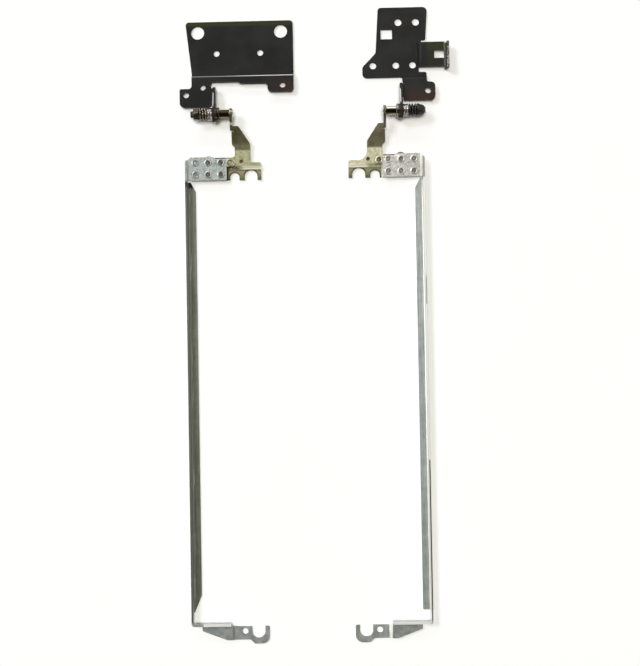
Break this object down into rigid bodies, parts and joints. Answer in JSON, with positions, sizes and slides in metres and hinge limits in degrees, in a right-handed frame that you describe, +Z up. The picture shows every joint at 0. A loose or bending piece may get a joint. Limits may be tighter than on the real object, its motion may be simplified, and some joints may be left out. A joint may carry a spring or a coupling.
{
  "type": "pair of laptop hinges",
  "caption": "Left and right laptop screen hinges: stamped base brackets with friction shafts, lid brackets with screw forks, and long folded screen rails.",
  "frame": {"origin": "middle of the pair on the surface it lies on", "axes": "+X across the pair to the right hinge, +Y from the rails' feet to the base brackets, +Z up"},
  "size_m": [0.129, 0.303, 0.0096],
  "materials": {
    "black_coat": "black semi-gloss coating",
    "olive_plate": "satin nickel plate with an olive cast",
    "zinc_plate": "satin zinc plate",
    "spring_steel": "oiled dark spring steel",
    "bright_steel": "bright turned steel",
    "dark_steel": "dark turned steel, greased"
  },
  "bodies": {
    "base": {"left_base_bracket": "black_coat", "left_tab_washer": "dark_steel", "right_base_bracket": "black_coat", "right_tab_washer": "dark_steel"},
    "left_lid": {"left_hinge_shaft": "dark_steel", "left_friction_washer": "bright_steel", "left_pressure_washer": "bright_steel", "left_disc_spring_1": "spring_steel", "left_disc_spring_2": "spring_steel", "left_disc_spring_3": "spring_steel", "left_lock_nut": "spring_steel", "left_lid_bracket": "olive_plate", "left_screen_rail": "zinc_plate"},
    "right_lid": {"right_hinge_shaft": "dark_steel", "right_friction_washer": "bright_steel", "right_pressure_washer": "bright_steel", "right_disc_spring_1": "spring_steel", "right_disc_spring_2": "spring_steel", "right_disc_spring_3": "spring_steel", "right_lock_nut": "spring_steel", "right_lid_bracket": "olive_plate", "right_screen_rail": "zinc_plate"}
  },
  "joints": [
    {"name": "left_hinge", "type": "hinge", "parent": "base", "child": "left_lid", "pos_m": [-0.04775, 0.10085, 0.0064], "axis": [-1, 0, 0], "range_deg": [0, 180]},
    {"name": "right_hinge", "type": "hinge", "parent": "base", "child": "right_lid", "pos_m": [0.04145, 0.10085, 0.0064], "axis": [-1, 0, 0], "range_deg": [0, 180]}
  ]
}
